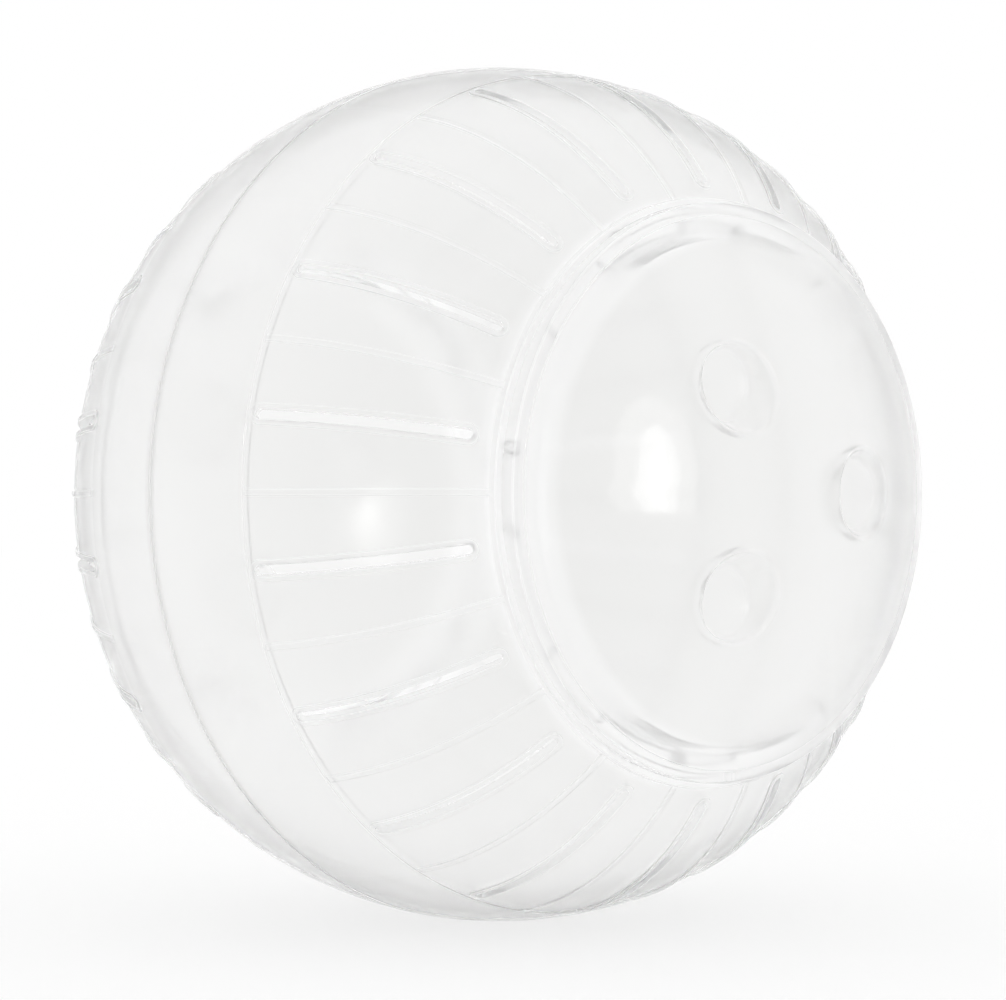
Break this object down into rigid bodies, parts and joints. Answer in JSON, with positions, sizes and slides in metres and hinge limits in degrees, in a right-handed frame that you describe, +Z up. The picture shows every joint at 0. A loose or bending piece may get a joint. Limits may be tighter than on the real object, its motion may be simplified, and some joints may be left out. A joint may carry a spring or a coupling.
{
  "type": "hamster ball",
  "caption": "Clear plastic exercise ball for a small pet, made of two slotted half shells with a twist-lock lid in the mouth of each.",
  "frame": {"origin": "centre of the ball", "axes": "+Y along the ball's own axis towards the rear lid, +Z up, the front lid facing -Y"},
  "size_m": [0.18, 0.173, 0.18],
  "materials": {
    "front_shell": "clear polystyrene, polished, faintly warm grey",
    "rear_shell": "clear polystyrene, polished, faintly warm grey",
    "front_lid": "clear polystyrene, polished, faintly warm grey",
    "rear_lid": "clear polystyrene, polished, faintly warm grey"
  },
  "bodies": {
    "front_shell": {"front_shell": "front_shell"},
    "rear_shell": {"rear_shell": "rear_shell"},
    "front_lid": {"front_lid": "front_lid"},
    "rear_lid": {"rear_lid": "rear_lid"}
  },
  "joints": [
    {"name": "rear_shell_pull", "type": "slide", "parent": "front_shell", "child": "rear_shell", "axis": [0, 1, 0], "range_m": [0, 0.12]},
    {"name": "front_lid_turn", "type": "hinge", "parent": "front_shell", "child": "front_lid", "pos_m": [0, 0, 0], "axis": [0, -1, 0], "range_deg": [0, 45]},
    {"name": "rear_lid_lift", "type": "slide", "parent": "rear_shell", "child": "rear_lid", "axis": [0, 1, 0], "range_m": [0, 0.12]}
  ]
}
